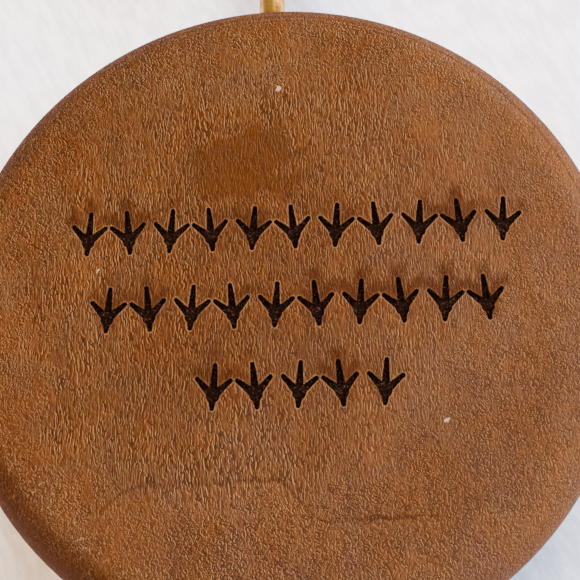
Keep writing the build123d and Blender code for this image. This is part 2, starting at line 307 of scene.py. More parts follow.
def walnut(shader, seed, torn=0.0, contrast=1.0):
    """Walnut's tint, its relief (0 to 1) and its figure (0 to 1).

    torn, 0 to 1, is where the pores wind every way and don't run along the grain. contrast
    strengthens them.
    """
    grained = along_y(shader, seed)
    plain = shader.moved(shader.point, seed)
    walls = []
    aside = (0.15, 0.05, 0.0)  # from a pore to the ridge beside it, whose pale tint is a painted highlight on that side
    for offset in ((0.0, 0.0, 0.0), aside):
        straight = pore_walls(shader, shader.moved(grained, offset), (1.0, 0.17, 1.0), 0.29)
        winding = pore_walls(shader, shader.moved(plain, offset), (1.0, 0.7, 1.0), 0.46, 0.5)
        walls.append(shader.between(torn, straight, winding))
    pores, ridges_and_highlights = walls
    strokes = shader.noise(shader.scaled(grained, (1.0, 0.20, 1.0)), 3.9, detail=2, roughness=0.6)
    depth = shader.noise(shader.scaled(grained, (1.0, 0.4, 1.0)), 0.9, detail=2)
    fibre = shader.noise(shader.scaled(grained, (1.0, 0.06, 1.0)), 7.0, detail=2, roughness=0.6)
    figure = shader.noise(shader.scaled(grained, (1.0, 0.18, 1.0)), 0.16, detail=4, roughness=0.6)
    cloud = shader.noise(plain, 0.07, detail=4, roughness=0.6)
    bands = shader.noise(shader.scaled(grained, (0.35, 1.0, 1.0)), 0.22, detail=3)

    tint = shader.ramp(
        figure,
        (0.28, (0.098, 0.0265, 0.0040)),
        (0.45, (0.126, 0.0365, 0.0062)),
        (0.58, (0.149, 0.0460, 0.0086)),
        (0.75, (0.182, 0.0610, 0.0126)),
    )
    tint = shader.mix(shader.spread(cloud, 0.42, 0.66, 0.0, 0.5), tint, (0.114, 0.0440, 0.0124))
    tint = shader.mix(shader.spread(bands, 0.52, 0.68, 0.0, 0.45), tint, (0.174, 0.0510, 0.0075))
    open_pores = shader.times(shader.spread(depth, 0.36, 0.56, 0.35, 1.0), contrast)
    dark = shader.times(shader.spread(pores, 0.90, 0.15), open_pores)
    ridge_and_highlight = shader.times(shader.times(shader.spread(ridges_and_highlights, 0.95, 0.30), pores), open_pores)
    shadow = shader.times(shader.spread(strokes, 0.46, 0.34), contrast)
    light = shader.times(shader.spread(strokes, 0.54, 0.66), contrast)
    tint = shader.mix(shader.times(shadow, 0.55), tint, (0.060, 0.0160, 0.0028))
    tint = shader.mix(shader.times(light, 0.42), tint, (0.330, 0.1380, 0.0440))
    # Painted highlight: a pale line along one side of each pore, as though lit from there.
    tint = shader.mix(shader.times(ridge_and_highlight, 0.90), tint, (0.500, 0.2400, 0.1000))
    dark = shader.times(dark, shader.math("MULTIPLY_ADD", torn, -0.15, 0.88))
    tint = shader.mix(dark, tint, (0.052, 0.0125, 0.0014))
    tint = shader.mix(shader.spread(fibre, 0.45, 0.70, 0.0, 0.20), tint, (0.075, 0.0210, 0.0044))
    relief = shader.math("MULTIPLY_ADD", ridge_and_highlight, 0.4, shader.times(pores, 0.6))
    relief = shader.between(open_pores, 0.8, relief)
    height = shader.math("MULTIPLY_ADD", strokes, 0.5, shader.times(relief, 0.5))
    return tint, height, figure


def growth_rings(shader, pith, bend, pitch):
    """0 to 1 through the growth rings, pitch mm apart, about a pith that runs along Y.

    pith is its x and z in mm, and bend is how far, in mm, the rings stray.
    """
    x, y, z = shader.parts(shader.point)
    bent = shader.noise(shader.scaled(shader.point, (1.0, 0.3, 1.0)), 0.06, detail=3)
    outward = shader.length(shader.joined(shader.add(x, -pith[0]), shader.add(z, -pith[1])))
    outward = shader.math("MULTIPLY_ADD", bent, bend, outward)
    return shader.noise(shader.joined(outward, shader.times(y, 0.02)), 1 / pitch, detail=4, roughness=0.6)


def ringed(shader, tint, rings, dark_share, light_share):
    """tint with dark late wood and pale early wood."""
    tint = shader.mix(shader.spread(rings, 0.48, 0.64, 0.0, dark_share), tint, (0.036, 0.0115, 0.0034))
    return shader.mix(shader.spread(rings, 0.46, 0.34, 0.0, light_share), tint, (0.185, 0.0800, 0.0280))


# ---- The pot's wood ----------------------------------------------------------------------------
flat_radius = 41.0  # of the flat engraved face, inside the round
chamber_radius = 37.7
chamber_ceiling = 23.5
char_black = (0.0030, 0.0007, 0.0004)
char_brown = (0.0110, 0.0030, 0.0014)
char_ember = (0.0420, 0.0130, 0.0060)
char_ash = (0.220, 0.1250, 0.0900)
dents = (  # place on the face, turn in degrees, squeeze along and across, size
    ((0.7, 32.2), 30, (1.0, 0.7), 0.38),
    ((20.9, -17.8), 20, (0.75, 1.1), 0.32),
    ((-25.6, 5.7), 35, (3.8, 0.65), 0.42),
)


class PotWood(Shader):
    """The pot's oiled walnut, with the masks that its marks share.

    Each method adds one kind of mark. It takes the tint so far, and the relief where it changes
    that too, and gives them back.
    """

    def __init__(self, track_group):
        super().__init__("oiled_walnut_engraved")
        self.track_group = track_group
        self.x, self.y, self.z = self.parts(self.point)
        self.radius = self.length(self.joined(self.x, self.y))
        near_face = self.math("GREATER_THAN", self.z, face_height / MM - 1.0)
        self.on_face = self.times(near_face, self.math("LESS_THAN", self.radius, flat_radius))
        self.on_wall = self.spread(self.z, 25.0, 21.0)
        self.on_round = self.spread(self.radius, 41.5, 44.5)
        self.wobble = self.noise(self.point, 0.35, detail=2)
        # The radius again, wavering a little, so that no ring or edge is quite round.
        self.level = self.math("MULTIPLY_ADD", self.wobble, 0.6, self.add(self.radius, -0.3))

    def towards(self, direction, low, high, to_low=0.0, to_high=1.0):
        """spread of how far a point lies from the axis towards direction, (x, y)."""
        return self.spread(self.dot(self.point, (*direction, 0.0)), low, high, to_low, to_high)

    def toned(self, factor, tint, tone):
        """tint multiplied by tone, as far as factor says."""
        return self.mix(factor, tint, tone, blend="MULTIPLY")

    def grained(self):
        """The wood's tint and relief, and where its pores are torn.

        A growth ring's edge crosses the near side: open pores beyond it, closer wood before it.
        """
        drift = self.noise(self.scaled(self.point, (1.0, 0.0, 0.0)), 0.5, detail=3)
        ring = self.math("MULTIPLY_ADD", drift, -1.6, self.add(self.y, 25.4))
        ring = self.add(ring, self.spread(self.x, -2.0, 4.0, 0.0, 5.6))
        ring = self.add(ring, self.spread(self.x, -20.0, -27.0, 0.0, 3.4))
        beyond = self.spread(ring, -0.2, 0.5)
        contrast = self.between(beyond, 0.95, self.spread(ring, 9.0, 1.0, 0.88, 1.15))

        # The pores are torn towards the rim, and further in on the near right side.
        edge = self.noise(self.point, 0.14, detail=4, roughness=0.65)
        near_right = self.towards((0.6, -0.8), 2.0, 30.0, 0.0, 13.0)
        outward = self.math("MULTIPLY_ADD", edge, 34.0, self.add(self.radius, -17.0))
        torn = self.spread(self.add(outward, near_right), 31.0, 40.0)
        torn = self.times(torn, self.subtract(1.0, self.on_wall))
        near_left = self.times(self.spread(self.y, 5.0, -15.0), self.spread(self.x, -5.0, -20.0))
        softened = self.times(torn, near_left)
        contrast = self.times(contrast, self.math("MULTIPLY_ADD", softened, -0.4, 1.0))
        contrast = self.times(contrast, self.math("MULTIPLY_ADD", near_right, 0.055, 1.0))
        tint, height, figure = walnut(self, (0.0, 0.0, 0.0), torn, contrast)

        closer_tint = self.toned(self.subtract(1.0, beyond), tint, (1.08, 1.10, 1.20))
        tint = self.mix(self.on_face, tint, closer_tint)
        # Paler and greyer towards the near right side.
        paler_towards_near_right = self.towards((0.83, -0.56), -20.0, 40.0, 0.0, 0.42)
        tint = self.mix(paler_towards_near_right, tint, (0.246, 0.1150, 0.0640))
        line = self.times(self.spread(ring, -0.5, -0.1), self.spread(ring, 0.6, 0.0))
        span = self.times(self.spread(self.x, -30.0, -24.0), self.spread(self.x, 21.0, 15.0))
        line = self.times(self.times(line, span), self.spread(figure, 0.30, 0.65, 0.3, 1.0))
        line = self.times(self.times(line, self.on_face), 0.62)
        return self.mix(line, tint, (0.060, 0.0170, 0.0040)), height, torn

    def walled(self, tint):
        """The wall, darker as painted shade, shows the growth rings, about a pith far below its left
        side.
        """
        # Painted shade: the whole wall darker.
        shaded_wall_tint = self.toned(0.75, tint, (0.56, 0.52, 0.52))
        rings = growth_rings(self, pith=(-34.0, -70.0), bend=9.0, pitch=2.4)
        return self.mix(self.on_wall, tint, ringed(self, shaded_wall_tint, rings, 0.75, 0.40))

    def stained_and_shaded(self, tint):
        """Darker where the oil took more deeply, with patches of a warmer or a cooler brown, and painted
        shade on the far rim.
        """
        soaked = self.noise(self.scaled(self.point, (1.0, 0.55, 1.0)), 0.11, detail=5, roughness=0.65)
        soaked = self.spread(soaked, 0.44, 0.62, 0.0, 0.6)
        tint = self.mix(self.on_face, tint, self.toned(soaked, tint, (0.82, 0.75, 0.66)))
        hue = self.noise(self.moved(self.point, (40.0, 10.0, 0.0)), 0.17, detail=4, roughness=0.6)
        tint = self.toned(self.spread(hue, 0.42, 0.66), tint, (1.07, 0.99, 0.84))
        tint = self.toned(self.spread(hue, 0.54, 0.32), tint, (0.95, 0.97, 1.12))

        # Whole parts of the pot are lighter or darker than the rest.
        far_left = self.towards((-0.55, 0.83), 28.0, 46.0, 0.0, 0.5)
        tint = self.toned(far_left, tint, (0.78, 0.76, 0.84))
        near_side = self.towards((0.5, -0.87), 14.0, 38.0)
        near_side = self.times(near_side, self.spread(self.radius, 36.0, 42.0, 1.0, 0.15))
        tint = self.toned(near_side, tint, (0.90, 0.85, 0.82))
        middle = self.spread(self.radius, 27.0, 8.0)
        tint = self.toned(middle, tint, (0.89, 0.84, 0.77))
        left_side = self.times(self.spread(self.x, -20.0, -36.0), self.spread(self.y, 24.0, 8.0))
        tint = self.toned(left_side, tint, (1.11, 1.14, 1.22))
        far_side = self.spread(self.y, 22.0, 36.0)
        tint = self.toned(far_side, tint, (1.04, 1.10, 1.22))
        # Painted shade: the far side's rim, low on the round, darker.
        far_rim_shade = self.times(self.spread(self.z, 26.2, 24.6), self.spread(self.y, 6.0, 20.0, 0.0, 0.6))
        return self.toned(far_rim_shade, tint, (0.55, 0.50, 0.52))

    def oiled(self, tint):
        """A darker, oilier patch on the far side."""
        off_middle = self.moved(self.point, (4.6, -20.9, 0.0))
        patch = self.length(self.scaled(off_middle, (0.125, 0.20, 0.0)))
        blot = self.noise(self.point, 0.30, detail=4, roughness=0.6)
        patch = self.math("MULTIPLY_ADD", blot, 2.4, self.add(patch, -1.2))
        patch = self.times(self.spread(patch, 1.25, 0.75), self.on_face)
        return self.mix(self.times(patch, 0.68), tint, (0.112, 0.0300, 0.0020))

    def lathed(self, tint, height, torn):
        """Rings round the rim, a dark line of painted groove shade on its far side, pale flecks that are
        painted glints, and painted shade on its edge.
        """
        across = self.joined(self.level, self.times(self.z, 1.3))
        rings = self.noise(across, 3.0, detail=3, roughness=0.7)
        height = self.between(self.times(self.on_round, 0.22), height, rings)
        # Painted shade of a groove: a dark line round the far side of the round, with no relief.
        groove_shade = self.times(self.spread(self.level, 44.1, 44.4), self.spread(self.level, 44.8, 44.5))
        groove_shade = self.times(groove_shade, self.spread(self.y, -12.0, 24.0))
        tint = self.mix(self.times(groove_shade, 0.5), tint, (0.045, 0.0130, 0.0035))

        # Painted glints: pale flecks, most on the torn face and fewest on the wall.
        glint_fleck, chance = self.cells(self.scaled(self.point, (1.0, 0.7, 1.0)), 2.4)
        glint_fleck = self.times(self.spread(glint_fleck, 0.30, 0.10), self.spread(chance, 0.62, 0.72))
        strength = self.math("MULTIPLY_ADD", self.on_wall, -0.22, 0.24)
        strength = self.math("MULTIPLY_ADD", torn, 0.40, strength)
        tint = self.mix(self.times(glint_fleck, strength), tint, (0.420, 0.2000, 0.0850))

        # Painted shade: the round's outer edge darker, high on the wall, least on the near right.
        edge_shade = self.spread(self.radius, 43.6, 47.0, 0.0, 0.60)
        edge_shade = self.times(edge_shade, self.spread(self.z, 17.0, 23.0, 0.35, 1.0))
        edge_shade = self.times(edge_shade, self.towards((0.7, -0.7), 5.0, 32.0, 1.0, 0.35))
        tint = self.mix(edge_shade, tint, (0.072, 0.0190, 0.0042))
        far_round = self.times(self.on_round, self.towards((-0.5, 0.87), 5.0, 35.0))
        dark_rings = self.times(self.spread(rings, 0.50, 0.60), far_round)
        tint = self.mix(self.times(dark_rings, 0.60), tint, (0.050, 0.0140, 0.0045))
        pale_rings = self.times(self.spread(rings, 0.44, 0.34), far_round)
        tint = self.mix(self.times(pale_rings, 0.35), tint, (0.400, 0.1900, 0.0950))
        return tint, height

    def darker_at_foot(self, tint):
        """Darker towards the foot."""
        wavering_height = self.math("MULTIPLY_ADD", self.wobble, 4.0, self.z)
        return self.mix(self.spread(wavering_height, 5.0, 1.5, 0.0, 0.55), tint, (0.030, 0.0110, 0.0042))

    def rubbed(self, tint):
        """The rim's near left side: painted highlight specks along the round's start, and painted shade
        outside.
        """
        near_left = (-0.75, -0.66)
        # Painted highlight: pale specks along the round's start on the near left side.
        worn = self.times(self.towards(near_left, 36.5, 41.0), self.spread(self.level, 43.4, 42.2))
        highlight_speck, chance = self.cells(self.scaled(self.point, (1.0, 0.7, 1.0)), 2.5)
        highlight_speck = self.times(self.spread(highlight_speck, 0.36, 0.12), self.spread(chance, 0.28, 0.44))
        highlight_speck = self.times(self.times(worn, highlight_speck), self.spread(self.wobble, 0.35, 0.55, 0.4, 1.0))
        tint = self.mix(self.times(highlight_speck, 0.78), tint, (0.540, 0.3100, 0.1750))
        # Painted shade: the round outside them darker.
        shaded_band = self.times(self.towards(near_left, 24.0, 34.0), self.spread(self.level, 42.7, 43.8))
        return self.toned(shaded_band, tint, (0.84, 0.74, 0.62))

    def track_distance(self, point):
        return self.new("ShaderNodeGroup", {0: point}, node_tree=self.track_group).outputs[0]

    def burnt(self, tint, height):
        """Burnt tracks: char in the cuts, a pale edge round them, scorch drawn out along Y.

        Also gives where the char is.
        """
        outside = self.track_distance(self.point)
        above = self.track_distance(self.moved(self.point, (0.0, -1.1, 0.0)))
        smoke = self.noise(self.scaled(self.point, (1.0, 0.30, 1.0)), 1.3, detail=4, roughness=0.65)
        scorch = self.spread(self.math("MULTIPLY_ADD", smoke, 2.6, above), 2.7, 1.2)
        fainter = self.spread(self.noise(self.point, 0.09, detail=2), 0.40, 0.56, 0.25, 1.0)
        scorch = self.times(self.times(scorch, self.on_face), fainter)
        tint = self.mix(self.times(scorch, 0.78), tint, (0.076, 0.0165, 0.0010))

        crumbs = self.noise(self.point, 3.4, detail=4, roughness=0.7)
        bare = self.math("MULTIPLY_ADD", crumbs, 0.50, self.add(outside, -0.25))
        unscorched = self.math("MULTIPLY_ADD", scorch, -0.8, self.on_face)
        bare = self.times(self.spread(bare, 0.27, 0.14), unscorched)
        tint = self.mix(self.times(bare, 0.62), tint, (0.400, 0.1850, 0.0800))
        char = self.ramp(
            crumbs, (0.34, char_black), (0.50, char_brown), (0.60, char_ember), (0.74, char_ash)
        )
        frayed = self.math("MULTIPLY_ADD", crumbs, 0.36, self.add(outside, -0.18))
        charred = self.times(self.spread(frayed, 0.07, -0.03), self.on_face)
        return self.mix(charred, tint, char), self.between(charred, height, crumbs), charred

    def dented(self, tint, height):
        """Dents in the face that show pale wood."""
        splinters = self.noise(self.point, 2.0, detail=2)
        for (across, up), turn, squeeze, size in dents:
            off = self.turned(self.moved(self.point, (-across, -up, 0.0)), radians(turn))
            off = self.length(self.scaled(off, (*squeeze, 0.0)))
            off = self.math("MULTIPLY_ADD", splinters, 1.8, self.add(off, -0.9))
            chip = self.times(self.spread(off, size, 0.6 * size), self.on_face)
            tint = self.mix(self.times(chip, 0.85), tint, (0.72, 0.50, 0.36))
            height = self.between(chip, height, 0.2)
        return tint, height


def body_wood():
    """The pot: oiled walnut with turning marks at its rim, stains, dents and the burnt tracks."""
    wood = PotWood(make_track_group())
    tint, height, torn = wood.grained()
    tint = wood.oiled(wood.stained_and_shaded(wood.walled(tint)))
    tint, height = wood.lathed(tint, height, torn)
    tint = wood.rubbed(wood.darker_at_foot(tint))
    tint, height, charred = wood.burnt(tint, height)
    tint, height = wood.dented(tint, height)

    under_ceiling = wood.math("LESS_THAN", wood.z, chamber_ceiling)
    chamber = wood.times(wood.math("LESS_THAN", wood.radius, chamber_radius), under_ceiling)
    tint = wood.mix(wood.times(chamber, 0.4), tint, (0.300, 0.1350, 0.0500))
    roughness = wood.spread(height, 0.35, 0.65, 0.66, 0.52)
    for mask, rougher in ((wood.on_round, 0.78), (charred, 0.85), (chamber, 0.8)):
        roughness = wood.between(mask, roughness, rougher)
    return wood.finish(tint, roughness, wood.bump(height, 0.32), Specular_IOR_Level=0.08)


# ---- The other wooden pieces -------------------------------------------------------------------
def cover_wood():
    """The sound cover: plainer, paler walnut, sanded, with the sander's faint swirls."""
    shader = Shader("walnut_sound_cover")
    x, y, _ = shader.parts(shader.point)
    radius = shader.length(shader.joined(x, y))
    tint, height, _ = walnut(shader, (41.0, 13.0, 5.0), contrast=0.8)
    tint = shader.mix(0.30, tint, (0.228, 0.084, 0.0244))
    rings = growth_rings(shader, pith=(-16.0, -30.0), bend=9.0, pitch=2.2)
    tint = ringed(shader, tint, rings, 0.55, 0.35)
    swirl = shader.noise(shader.joined(radius, shader.times(x, 0.05)), 2.4, detail=3, roughness=0.7)
    height = shader.between(0.35, height, swirl)
    worn = shader.spread(shader.noise(shader.point, 0.12, detail=4), 0.50, 0.66, 0.0, 0.30)
    tint = shader.mix(worn, tint, (0.285, 0.116, 0.0377))
    hands = shader.spread(radius, 39.0, 43.0, 0.0, 0.35)
    tint = shader.mix(hands, tint, (0.076, 0.024, 0.0064))
    roughness = shader.spread(swirl, 0.3, 0.7, 0.50, 0.62)
    normal = shader.bump(height, 0.14)
    return shader.finish(tint, roughness, normal, Specular_IOR_Level=0.4)


def knob_wood():
    """The knob: walnut turned along its grain and rubbed by a thumb, with dark turned lines."""
    shader = Shader("walnut_knob")
    knob_length = (knob_high.y - knob_low.y) / MM
    tint, height, figure = walnut(shader, (17.0, -36.0, 9.0), contrast=0.8)
    rings = growth_rings(shader, pith=(-11.0, 2.0), bend=2.5, pitch=1.1)
    tint = ringed(shader, tint, rings, 0.70, 0.30)
    along = shader.subtract(shader.parts(shader.point)[1], knob_low.y / MM)
    lathe = shader.noise(shader.joined(shader.times(along, 3.0), figure), 1.6, detail=3, roughness=0.75)
    height = shader.between(0.45, height, lathe)
    end_grain = shader.spread(along, knob_length - 0.9, knob_length - 0.2)
    pores = shader.noise(shader.scaled(shader.point, (1.0, 0.1, 1.0)), 3.6, detail=3, roughness=0.65)
    end_tint = shader.ramp(
        pores,
        (0.38, (0.022, 0.0070, 0.0022)),
        (0.5, (0.095, 0.0288, 0.0067)),
        (0.7, (0.1615, 0.0544, 0.0139)),
    )
    tint = shader.mix(end_grain, tint, end_tint)
    polish = shader.noise(shader.point, 0.25, detail=3)
    tint = shader.mix(shader.spread(polish, 0.3, 0.7, 0.25, 0.60), tint, (0.0620, 0.0170, 0.0038))
    roughness = shader.spread(polish, 0.35, 0.65, 0.52, 0.38)
    normal = shader.bump(height, 0.12)
    return shader.finish(tint, roughness, normal, Specular_IOR_Level=0.35)


def pale_wood(name, seed, light, dark, grain, pore_tint):
    """Sanded close-grained wood. grain squeezes the pattern along its own direction."""
    shader = Shader(name)
    point = shader.moved(shader.point, seed)
    wander = shader.noise(point, 0.18, detail=2)
    x, y, z = shader.parts(shader.scaled(point, grain))
    swayed = shader.joined(shader.add(x, wander), shader.add(y, wander), shader.add(z, wander))
    rings = shader.noise(swayed, 0.55, detail=5, roughness=0.6, distortion=0.3)
    fibre = shader.noise(swayed, 4.2, detail=3, roughness=0.7)
    flecks = shader.noise(swayed, 2.4, detail=2, roughness=0.5)
    tint = shader.ramp(rings, (0.3, dark), (0.55, light), (0.75, shade(light, 1.12)))
    tint = shader.mix(shader.spread(flecks, 0.42, 0.33, 0.0, 0.6), tint, pore_tint)
    tint = shader.mix(shader.spread(fibre, 0.5, 0.75, 0.0, 0.25), tint, dark)
    handling = shader.spread(shader.noise(shader.point, 0.3, detail=3), 0.5, 0.75, 0.0, 0.3)
    tint = shader.mix(handling, tint, shade(dark, 0.7))
    return shader, tint, fibre


def maple():
    """Hard maple, its grain along Y."""
    shader, tint, fibre = pale_wood(
        "hard_maple",
        seed=(3.0, 8.0, 1.0),
        light=(0.52, 0.35, 0.19),
        dark=(0.38, 0.22, 0.105),
        grain=(1.0, 0.12, 1.0),
        pore_tint=(0.26, 0.14, 0.06),
    )
    roughness = shader.spread(fibre, 0.3, 0.7, 0.48, 0.62)
    return shader.finish(tint, roughness, shader.bump(fibre, 0.05), Specular_IOR_Level=0.4)


def hickory():
    """The peg, its grain upright, with slate dust on its dressed tip."""
    shader, tint, fibre = pale_wood(
        "hickory",
        seed=(5.0, 2.0, 7.0),
        light=(0.44, 0.27, 0.135),
        dark=(0.27, 0.145, 0.062),
        grain=(1.0, 1.0, 0.10),
        pore_tint=(0.13, 0.06, 0.024),
    )
    z = shader.parts(shader.point)[2]
    tip = peg_low.z / MM
    dust_edge = shader.math("MULTIPLY_ADD", shader.noise(shader.point, 2.0, detail=4), 1.6, z)
    dust = shader.spread(dust_edge, tip + 2.4, tip + 0.9, 0.0, 0.85)
    tint = shader.mix(dust, tint, (0.23, 0.24, 0.25))
    roughness = shader.between(dust, 0.55, 0.9)
    return shader.finish(tint, roughness, shader.bump(fibre, 0.06), Specular_IOR_Level=0.35)


# ---- Metals ------------------------------------------------------------------------------------
drawn_y = (1.0, 0.05, 1.0)  # marks along Y, as on drawn rod
rolled_y = (1.0, 0.04, 1.0)  # and longer, as on rolled strip
every_way = (1.0, 1.0, 1.0)


def metal(name, bright, tarnish, marks_run, polish, tool_depth, tarnished):
    """Metal with tool marks, tarnish and spots.

    marks_run squeezes the marks' pattern along the way they run. polish is the roughness of the
    smoothest metal, tool_depth is in mm, and tarnished, 0 to 1, says how much tarnish there is.
    """
    shader = Shader(name)
    marks = shader.noise(shader.scaled(shader.point, marks_run), 5.0, detail=4, roughness=0.7)
    elsewhere = shader.moved(shader.point, (9.0, 4.0, 2.0))
    scratches = shader.noise(shader.scaled(elsewhere, marks_run), 11.0, detail=2, roughness=0.5)
    film = shader.noise(shader.point, 0.45, detail=5, roughness=0.65)
    spots = shader.noise(shader.point, 2.8, detail=3, roughness=0.6)
    stain = shader.times(shader.spread(film, 0.40, 0.66), tarnished)
    tint = shader.mix(stain, bright, tarnish)
    tint = shader.mix(shader.spread(spots, 0.60, 0.72, 0.0, 0.45), tint, shade(tarnish, 0.5))
    tint = shader.mix(shader.spread(scratches, 0.56, 0.66, 0.0, 0.35), tint, shade(bright, 1.08))
    roughness = shader.spread(marks, 0.3, 0.7, polish, polish + 0.16)
    roughness = shader.add(roughness, shader.times(stain, 0.22))
    relief = shader.math("MULTIPLY_ADD", scratches, 0.4, shader.times(marks, 0.6))
    return shader, tint, roughness, shader.bump(relief, tool_depth)


def rod_brass():
    """Drawn brass rod, dull and heavily tarnished, with its marks along it."""
    shader, tint, roughness, normal = metal(
        "drawn_brass_rod",
        bright=(0.55, 0.30, 0.048),
        tarnish=(0.20, 0.085, 0.010),
        marks_run=drawn_y,
        polish=0.36,
        tool_depth=0.03,
        tarnished=0.9,
    )
    return shader.finish(tint, roughness, normal, Metallic=1.0)


def turned_brass():
    """Brass turned about the rod's axis: fine rings round it on its faces and its side."""
    bright = (0.70, 0.44, 0.12)
    tarnish = (0.36, 0.20, 0.055)
    polish = 0.30
    shader = Shader("turned_brass")
    x, y, z = shader.parts(shader.point)
    radius = shader.length(shader.joined(x, shader.add(z, -rod_height / MM)))
    rings = shader.noise(shader.joined(radius, y), 7.0, detail=3, roughness=0.7)
    film = shader.noise(shader.point, 0.6, detail=5, roughness=0.65)
    stain = shader.spread(film, 0.42, 0.68, 0.0, 0.6)
    tint = shader.mix(stain, bright, tarnish)
    tint = shader.mix(shader.spread(rings, 0.55, 0.7, 0.0, 0.3), tint, shade(tarnish, 0.7))
    roughness = shader.spread(rings, 0.3, 0.7, polish, polish + 0.15)
    roughness = shader.add(roughness, shader.times(stain, 0.2))
    return shader.finish(tint, roughness, shader.bump(rings, 0.015), Metallic=1.0)


def screw_brass():
    """Bright brass screws, spotted and scratched every way."""
    shader, tint, roughness, normal = metal(
        "brass_screws",
        bright=(0.80, 0.55, 0.20),
        tarnish=(0.30, 0.165, 0.045),
        marks_run=every_way,
        polish=0.24,
        tool_depth=0.02,
        tarnished=0.7,
    )
    return shader.finish(tint, roughness, normal, Metallic=1.0)


def bronze():
    """Rolled phosphor bronze strip, with the brown bloom that it gets in the hand."""
    shader, tint, roughness, normal = metal(
        "phosphor_bronze",
        bright=(0.70, 0.39, 0.19),
        tarnish=(0.24, 0.105, 0.045),
        marks_run=rolled_y,
        polish=0.26,
        tool_depth=0.01,
        tarnished=0.8,
    )
    return shader.finish(tint, roughness, normal, Metallic=1.0)


def spring_steel():
    """Oil-tempered wire: grey steel with brown patches."""
    shader, tint, roughness, normal = metal(
        "spring_steel",
        bright=(0.46, 0.45, 0.43),
        tarnish=(0.17, 0.125, 0.09),
        marks_run=every_way,
        polish=0.24,
        tool_depth=0.006,
        tarnished=0.6,
    )
    return shader.finish(tint, roughness, normal, Metallic=1.0)


def black_steel():
    """Black-oxide set screws, rubbed to bare steel in patches."""
    shader, tint, roughness, normal = metal(
        "black_oxide",
        bright=(0.055, 0.055, 0.060),
        tarnish=(0.020, 0.019, 0.018),
        marks_run=every_way,
        polish=0.34,
        tool_depth=0.02,
        tarnished=0.8,
    )
    rubbed = shader.noise(shader.point, 3.0, detail=3, roughness=0.6)
    tint = shader.mix(shader.spread(rubbed, 0.58, 0.68, 0.0, 0.7), tint, (0.32, 0.32, 0.33))
    return shader.finish(tint, roughness, normal, Metallic=1.0)


# ---- Slate, felt and rubber --------------------------------------------------------------------
def slate():
    """Slate that has been roughed across, with the peg's pale strokes along Y at its middle."""
    shader = Shader("conditioned_slate")
    x, y, z = shader.parts(shader.point)
    seams = shader.noise(shader.scaled(shader.point, (0.25, 1.0, 4.0)), 0.35, detail=6, roughness=0.65)
    grit = shader.noise(shader.point, 6.5, detail=4, roughness=0.75)
    roughed = shader.scaled(shader.turned(shader.point, 0.5), (0.05, 1.0, 1.0))
    lines = shader.noise(roughed, 3.4, detail=4, roughness=0.75)
    tint = shader.ramp(
        seams,
        (0.3, (0.030, 0.034, 0.040)),
        (0.5, (0.052, 0.057, 0.064)),
        (0.7, (0.075, 0.079, 0.083)),
    )
    tint = shader.mix(shader.spread(lines, 0.52, 0.68, 0.0, 0.6), tint, (0.20, 0.21, 0.22))
    tint = shader.mix(shader.spread(grit, 0.60, 0.75, 0.0, 0.5), tint, (0.24, 0.25, 0.26))
    middle = (peg_low.y + peg_high.y) / 2 / MM
    strokes = shader.noise(shader.scaled(shader.point, (1.0, 0.06, 1.0)), 4.5, detail=3, roughness=0.7)
    across = shader.times(shader.spread(x, -3.4, -2.2), shader.spread(x, 3.4, 2.2))
    along = shader.spread(y, middle - 17.0, middle - 12.0)
    along = shader.times(along, shader.spread(y, middle + 4.0, middle))
    on_top = shader.math("GREATER_THAN", z, slate_top / MM - 0.1)
    played = shader.times(shader.times(across, along), shader.spread(strokes, 0.40, 0.60))
    played = shader.times(played, on_top)
    tint = shader.mix(shader.times(played, 0.75), tint, (0.30, 0.31, 0.31))
    roughness = shader.spread(lines, 0.3, 0.7, 0.62, 0.80)
    relief = shader.math("MULTIPLY_ADD", lines, 0.6, shader.times(grit, 0.4))
    return shader.finish(tint, roughness, shader.bump(relief, 0.07), Specular_IOR_Level=0.45)


def felt():
    """Pressed wool felt, dark green, with matted fibres and pale lint."""
    shader = Shader("wool_felt")
    swirl = shader.noise(shader.point, 1.3, detail=3)
    shift = shader.times(shader.add(swirl, -0.5), 3.0)
    x, y, z = shader.parts(shader.moved(shader.point, (2.0, 5.0, 1.0)))
    matted = shader.joined(shader.add(x, shift), y, shader.add(z, shift))
    fibres = shader.noise(matted, 6.0, detail=5, roughness=0.8, distortion=1.2)
    tint = shader.ramp(
        fibres,
        (0.30, (0.010, 0.022, 0.013)),
        (0.55, (0.030, 0.062, 0.036)),
        (0.75, (0.085, 0.140, 0.090)),
    )
    lint = shader.noise(shader.point, 9.0, detail=2, distortion=2.0)
    tint = shader.mix(shader.spread(lint, 0.64, 0.72, 0.0, 0.5), tint, (0.32, 0.34, 0.28))
    return shader.finish(tint, 0.95, shader.bump(fibres, 0.16), Sheen_Weight=0.5, Sheen_Roughness=0.6)


def rubber():
    """Moulded black rubber, bloomed grey in places, with fine pits and dust."""
    shader = Shader("black_rubber")
    bloom = shader.noise(shader.point, 0.7, detail=5, roughness=0.65)
    pits = shader.noise(shader.point, 8.0, detail=3, roughness=0.6)
    tint = shader.ramp(
        bloom,
        (0.35, (0.010, 0.010, 0.011)),
        (0.6, (0.022, 0.022, 0.023)),
        (0.8, (0.055, 0.053, 0.050)),
    )
    tint = shader.mix(shader.spread(pits, 0.62, 0.72, 0.0, 0.4), tint, (0.12, 0.115, 0.105))
    roughness = shader.spread(bloom, 0.3, 0.7, 0.55, 0.75)
    return shader.finish(tint, roughness, shader.bump(pits, 0.03), Specular_IOR_Level=0.4)


# ---- Return spring -----------------------------------------------------------------------------
spring_wire = 0.6 * MM
spring_turns = 8.0
dead_turns = 0.9  # at each end, where the coils lie closed and flat
steps_per_turn = 40
wire_sides = 12
ground_ends = (0.55, 0.86, 0.97, 1.0)  # shares of the wire's thickness, by steps from each end


